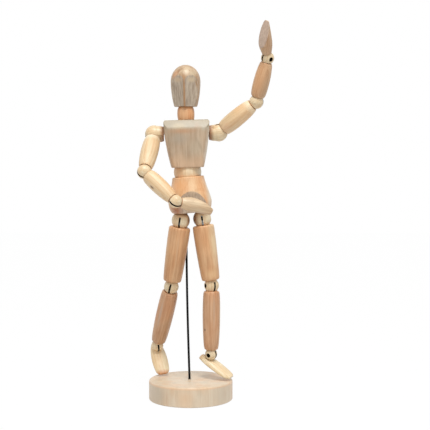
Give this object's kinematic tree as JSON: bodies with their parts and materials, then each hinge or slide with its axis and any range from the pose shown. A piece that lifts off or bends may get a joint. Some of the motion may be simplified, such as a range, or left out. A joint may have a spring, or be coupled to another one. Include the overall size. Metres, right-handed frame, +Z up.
{
  "type": "wooden artist mannequin",
  "caption": "Jointed wooden drawing figure on a round base: turned and sawn pieces joined by slotted balls with springs inside, held up by a thin bent rod.",
  "frame": {"origin": "middle of the base's underside", "axes": "+Z up, the figure faces -Y, its left side is +X"},
  "size_m": [0.118, 0.0866, 0.3332],
  "materials": {
    "base": "sanded pale wood, unvarnished",
    "chest": "sanded pale wood, unvarnished",
    "head": "sanded pale wood, unvarnished",
    "left_ankle_ball": "sanded pale wood, unvarnished",
    "left_ankle_pin": "plain steel",
    "left_elbow_ball": "sanded pale wood, unvarnished",
    "left_elbow_pin": "plain steel",
    "left_foot": "sanded pale wood, unvarnished",
    "left_foot_hook": "plain steel",
    "left_forearm": "sanded pale wood, unvarnished",
    "left_forearm_spring": "plain steel",
    "left_hand": "sanded pale wood, unvarnished",
    "left_hand_hook": "plain steel",
    "left_hip_ball": "sanded pale wood, unvarnished",
    "left_hip_pin": "plain steel",
    "left_hip_spring": "plain steel",
    "left_knee_ball": "sanded pale wood, unvarnished",
    "left_knee_pin": "plain steel",
    "left_shin": "sanded pale wood, unvarnished",
    "left_shin_spring": "plain steel",
    "left_shoulder_ball": "sanded pale wood, unvarnished",
    "left_shoulder_pin": "plain steel",
    "left_thigh": "sanded pale wood, unvarnished",
    "left_thigh_spring": "plain steel",
    "left_upper_arm": "sanded pale wood, unvarnished",
    "left_upper_arm_spring": "plain steel",
    "left_wrist_ball": "sanded pale wood, unvarnished",
    "left_wrist_pin": "plain steel",
    "neck": "sanded pale wood, unvarnished",
    "neck_spring": "plain steel",
    "pelvis": "sanded pale wood, unvarnished",
    "right_ankle_ball": "sanded pale wood, unvarnished",
    "right_ankle_pin": "plain steel",
    "right_elbow_ball": "sanded pale wood, unvarnished",
    "right_elbow_pin": "plain steel",
    "right_foot": "sanded pale wood, unvarnished",
    "right_foot_hook": "plain steel",
    "right_forearm": "sanded pale wood, unvarnished",
    "right_forearm_spring": "plain steel",
    "right_hand": "sanded pale wood, unvarnished",
    "right_hand_hook": "plain steel",
    "right_hip_ball": "sanded pale wood, unvarnished",
    "right_hip_pin": "plain steel",
    "right_hip_spring": "plain steel",
    "right_knee_ball": "sanded pale wood, unvarnished",
    "right_knee_pin": "plain steel",
    "right_shin": "sanded pale wood, unvarnished",
    "right_shin_spring": "plain steel",
    "right_shoulder_ball": "sanded pale wood, unvarnished",
    "right_shoulder_pin": "plain steel",
    "right_thigh": "sanded pale wood, unvarnished",
    "right_thigh_spring": "plain steel",
    "right_upper_arm": "sanded pale wood, unvarnished",
    "right_upper_arm_spring": "plain steel",
    "right_wrist_ball": "sanded pale wood, unvarnished",
    "right_wrist_pin": "plain steel",
    "shoulder_spring": "plain steel",
    "spine_spring": "plain steel",
    "support_rod": "black painted steel",
    "waist": "sanded pale wood, unvarnished"
  },
  "bodies": {
    "base": {"base": "base", "support_rod": "support_rod"},
    "pelvis": {"pelvis": "pelvis", "right_hip_spring": "right_hip_spring", "left_hip_spring": "left_hip_spring"},
    "waist": {"waist": "waist"},
    "spine_spring": {"spine_spring": "spine_spring"},
    "chest": {"chest": "chest", "shoulder_spring": "shoulder_spring"},
    "neck": {"neck": "neck"},
    "neck_spring": {"neck_spring": "neck_spring"},
    "head": {"head": "head"},
    "right_shoulder_ball": {"right_shoulder_ball": "right_shoulder_ball", "right_shoulder_pin": "right_shoulder_pin"},
    "right_upper_arm": {"right_upper_arm": "right_upper_arm", "right_upper_arm_spring": "right_upper_arm_spring"},
    "right_elbow_ball": {"right_elbow_ball": "right_elbow_ball", "right_elbow_pin": "right_elbow_pin"},
    "right_forearm": {"right_forearm": "right_forearm", "right_forearm_spring": "right_forearm_spring"},
    "right_wrist_ball": {"right_wrist_ball": "right_wrist_ball", "right_wrist_pin": "right_wrist_pin"},
    "right_hand": {"right_hand": "right_hand", "right_hand_hook": "right_hand_hook"},
    "right_hip_ball": {"right_hip_ball": "right_hip_ball", "right_hip_pin": "right_hip_pin"},
    "right_thigh": {"right_thigh": "right_thigh", "right_thigh_spring": "right_thigh_spring"},
    "right_knee_ball": {"right_knee_ball": "right_knee_ball", "right_knee_pin": "right_knee_pin"},
    "right_shin": {"right_shin": "right_shin", "right_shin_spring": "right_shin_spring"},
    "right_ankle_ball": {"right_ankle_ball": "right_ankle_ball", "right_ankle_pin": "right_ankle_pin"},
    "right_foot": {"right_foot": "right_foot", "right_foot_hook": "right_foot_hook"},
    "left_shoulder_ball": {"left_shoulder_ball": "left_shoulder_ball", "left_shoulder_pin": "left_shoulder_pin"},
    "left_upper_arm": {"left_upper_arm": "left_upper_arm", "left_upper_arm_spring": "left_upper_arm_spring"},
    "left_elbow_ball": {"left_elbow_ball": "left_elbow_ball", "left_elbow_pin": "left_elbow_pin"},
    "left_forearm": {"left_forearm": "left_forearm", "left_forearm_spring": "left_forearm_spring"},
    "left_wrist_ball": {"left_wrist_ball": "left_wrist_ball", "left_wrist_pin": "left_wrist_pin"},
    "left_hand": {"left_hand": "left_hand", "left_hand_hook": "left_hand_hook"},
    "left_hip_ball": {"left_hip_ball": "left_hip_ball", "left_hip_pin": "left_hip_pin"},
    "left_thigh": {"left_thigh": "left_thigh", "left_thigh_spring": "left_thigh_spring"},
    "left_knee_ball": {"left_knee_ball": "left_knee_ball", "left_knee_pin": "left_knee_pin"},
    "left_shin": {"left_shin": "left_shin", "left_shin_spring": "left_shin_spring"},
    "left_ankle_ball": {"left_ankle_ball": "left_ankle_ball", "left_ankle_pin": "left_ankle_pin"},
    "left_foot": {"left_foot": "left_foot", "left_foot_hook": "left_foot_hook"}
  },
  "joints": [
    {"name": "pelvis_turn", "type": "hinge", "parent": "base", "child": "pelvis", "pos_m": [-0.004, 0.01, 0.16104], "axis": [0, 0, 1], "range_deg": [-90, 90]},
    {"name": "waist_turn", "type": "hinge", "parent": "pelvis", "child": "waist", "pos_m": [-0.0026, 0, 0.20331], "axis": [-0.0802, 0, 0.9968], "range_deg": [-45, 45]},
    {"name": "waist_bend", "type": "hinge", "parent": "waist", "child": "spine_spring", "pos_m": [-0.0026, 0, 0.20331], "axis": [0.9982, 0.0523, 0.0279], "range_deg": [-17, 17]},
    {"name": "waist_lean", "type": "hinge", "parent": "spine_spring", "child": "chest", "pos_m": [-0.0026, 0, 0.20331], "axis": [-0.0523, 0.9986, -0.0015], "range_deg": [-15, 15]},
    {"name": "head_turn", "type": "hinge", "parent": "chest", "child": "neck", "pos_m": [-0.00409, 0, 0.25659], "axis": [-0.0279, 0, 0.9996], "range_deg": [-80, 80]},
    {"name": "head_nod", "type": "hinge", "parent": "neck", "child": "neck_spring", "pos_m": [-0.00409, 0, 0.25659], "axis": [0.9975, -0.0698, 0.007], "range_deg": [-13, 13]},
    {"name": "head_tilt", "type": "hinge", "parent": "neck_spring", "child": "head", "pos_m": [-0.00409, 0, 0.25659], "axis": [0.0698, 0.9976, 0.0005], "range_deg": [-12, 12]},
    {"name": "right_shoulder_turn", "type": "hinge", "parent": "chest", "child": "right_shoulder_ball", "pos_m": [-0.03226, -0.00151, 0.23669], "axis": [-0.9982, -0.0523, -0.0279], "range_deg": [-8, 90]},
    {"name": "right_shoulder_bend", "type": "hinge", "parent": "right_shoulder_ball", "child": "right_upper_arm", "pos_m": [-0.03226, -0.00151, 0.23669], "axis": [0.0213, -0.7555, 0.6548], "range_deg": [-110, 12]},
    {"name": "right_elbow_turn", "type": "hinge", "parent": "right_upper_arm", "child": "right_elbow_ball", "pos_m": [-0.03907, -0.02995, 0.20409], "axis": [-0.1555, -0.6494, -0.7443], "range_deg": [-20, 90]},
    {"name": "right_elbow_bend", "type": "hinge", "parent": "right_elbow_ball", "child": "right_forearm", "pos_m": [-0.03907, -0.02995, 0.20409], "axis": [0.1936, -0.7589, 0.6217], "range_deg": [-130, 12]},
    {"name": "right_wrist_turn", "type": "hinge", "parent": "right_forearm", "child": "right_wrist_ball", "pos_m": [-0.01166, -0.04346, 0.17906], "axis": [-0.6939, 0.342, 0.6336], "range_deg": [-90, 90]},
    {"name": "right_wrist_bend", "type": "hinge", "parent": "right_wrist_ball", "child": "right_hand", "pos_m": [-0.01166, -0.04346, 0.17906], "axis": [0.3709, -0.5845, 0.7217], "range_deg": [-130, 30]},
    {"name": "right_hip_turn", "type": "hinge", "parent": "pelvis", "child": "right_hip_ball", "pos_m": [-0.00872, -0.001, 0.16028], "axis": [0.149, -0.0243, 0.9885], "range_deg": [-26, 45]},
    {"name": "right_hip_bend", "type": "hinge", "parent": "right_hip_ball", "child": "right_thigh", "pos_m": [-0.00872, -0.001, 0.16028], "axis": [0.9832, -0.1033, -0.1507], "range_deg": [-65, 5]},
    {"name": "right_knee_turn", "type": "hinge", "parent": "right_thigh", "child": "right_knee_ball", "pos_m": [-0.01743, 0.00322, 0.10056], "axis": [0.2688, -0.0877, 0.9592], "range_deg": [-35, 45]},
    {"name": "right_knee_bend", "type": "hinge", "parent": "right_knee_ball", "child": "right_shin", "pos_m": [-0.01743, 0.00322, 0.10056], "axis": [0.951, -0.1337, -0.2788], "range_deg": [-60, 50]},
    {"name": "right_ankle_turn", "type": "hinge", "parent": "right_shin", "child": "right_ankle_ball", "pos_m": [-0.03113, 0.02385, 0.04394], "axis": [-0.0253, -0.4054, 0.9138], "range_deg": [-45, 45]},
    {"name": "right_ankle_bend", "type": "hinge", "parent": "right_ankle_ball", "child": "right_foot", "pos_m": [-0.03113, 0.02385, 0.04394], "axis": [0.9652, 0.2282, 0.128], "range_deg": [-80, 3]},
    {"name": "left_shoulder_turn", "type": "hinge", "parent": "chest", "child": "left_shoulder_ball", "pos_m": [0.02515, 0.00151, 0.2383], "axis": [0.9982, 0.0523, 0.0279], "range_deg": [-90, 90]},
    {"name": "left_shoulder_bend", "type": "hinge", "parent": "left_shoulder_ball", "child": "left_upper_arm", "pos_m": [0.02515, 0.00151, 0.2383], "axis": [0.0593, -0.8849, -0.4621], "range_deg": [-104, 38]},
    {"name": "left_elbow_turn", "type": "hinge", "parent": "left_upper_arm", "child": "left_elbow_ball", "pos_m": [0.0579, -0.0102, 0.26492], "axis": [0.7478, -0.2672, 0.6077], "range_deg": [-90, 90]},
    {"name": "left_elbow_bend", "type": "hinge", "parent": "left_elbow_ball", "child": "left_forearm", "pos_m": [0.0579, -0.0102, 0.26492], "axis": [-0.1793, -0.9627, -0.2027], "range_deg": [-110, 35]},
    {"name": "left_wrist_turn", "type": "hinge", "parent": "left_forearm", "child": "left_wrist_ball", "pos_m": [0.06717, -0.01976, 0.3021], "axis": [0.2347, -0.2419, 0.9415], "range_deg": [-90, 90]},
    {"name": "left_wrist_bend", "type": "hinge", "parent": "left_wrist_ball", "child": "left_hand", "pos_m": [0.06717, -0.01976, 0.3021], "axis": [0.5436, -0.7702, -0.3335], "range_deg": [-110, 52]},
    {"name": "left_hip_turn", "type": "hinge", "parent": "pelvis", "child": "left_hip_ball", "pos_m": [0.01032, 0.001, 0.16181], "axis": [0.1374, 0, -0.9905], "range_deg": [-45, 45]},
    {"name": "left_hip_bend", "type": "hinge", "parent": "left_hip_ball", "child": "left_thigh", "pos_m": [0.01032, 0.001, 0.16181], "axis": [0.9905, 0, 0.1374], "range_deg": [-62, 12]},
    {"name": "left_knee_turn", "type": "hinge", "parent": "left_thigh", "child": "left_knee_ball", "pos_m": [0.01863, 0.001, 0.10188], "axis": [0.0286, -0.061, -0.9977], "range_deg": [-45, 45]},
    {"name": "left_knee_bend", "type": "hinge", "parent": "left_knee_ball", "child": "left_shin", "pos_m": [0.01863, 0.001, 0.10188], "axis": [0.8746, 0.4848, -0.0046], "range_deg": [-65, 58]},
    {"name": "left_ankle_turn", "type": "hinge", "parent": "left_shin", "child": "left_ankle_ball", "pos_m": [0.01831, 0.001, 0.04009], "axis": [0.0795, 0.1314, -0.9881], "range_deg": [-45, 25]},
    {"name": "left_ankle_bend", "type": "hinge", "parent": "left_ankle_ball", "child": "left_foot", "pos_m": [0.01831, 0.001, 0.04009], "axis": [0.536, 0.8301, 0.1535], "range_deg": [-80, 3]}
  ]
}
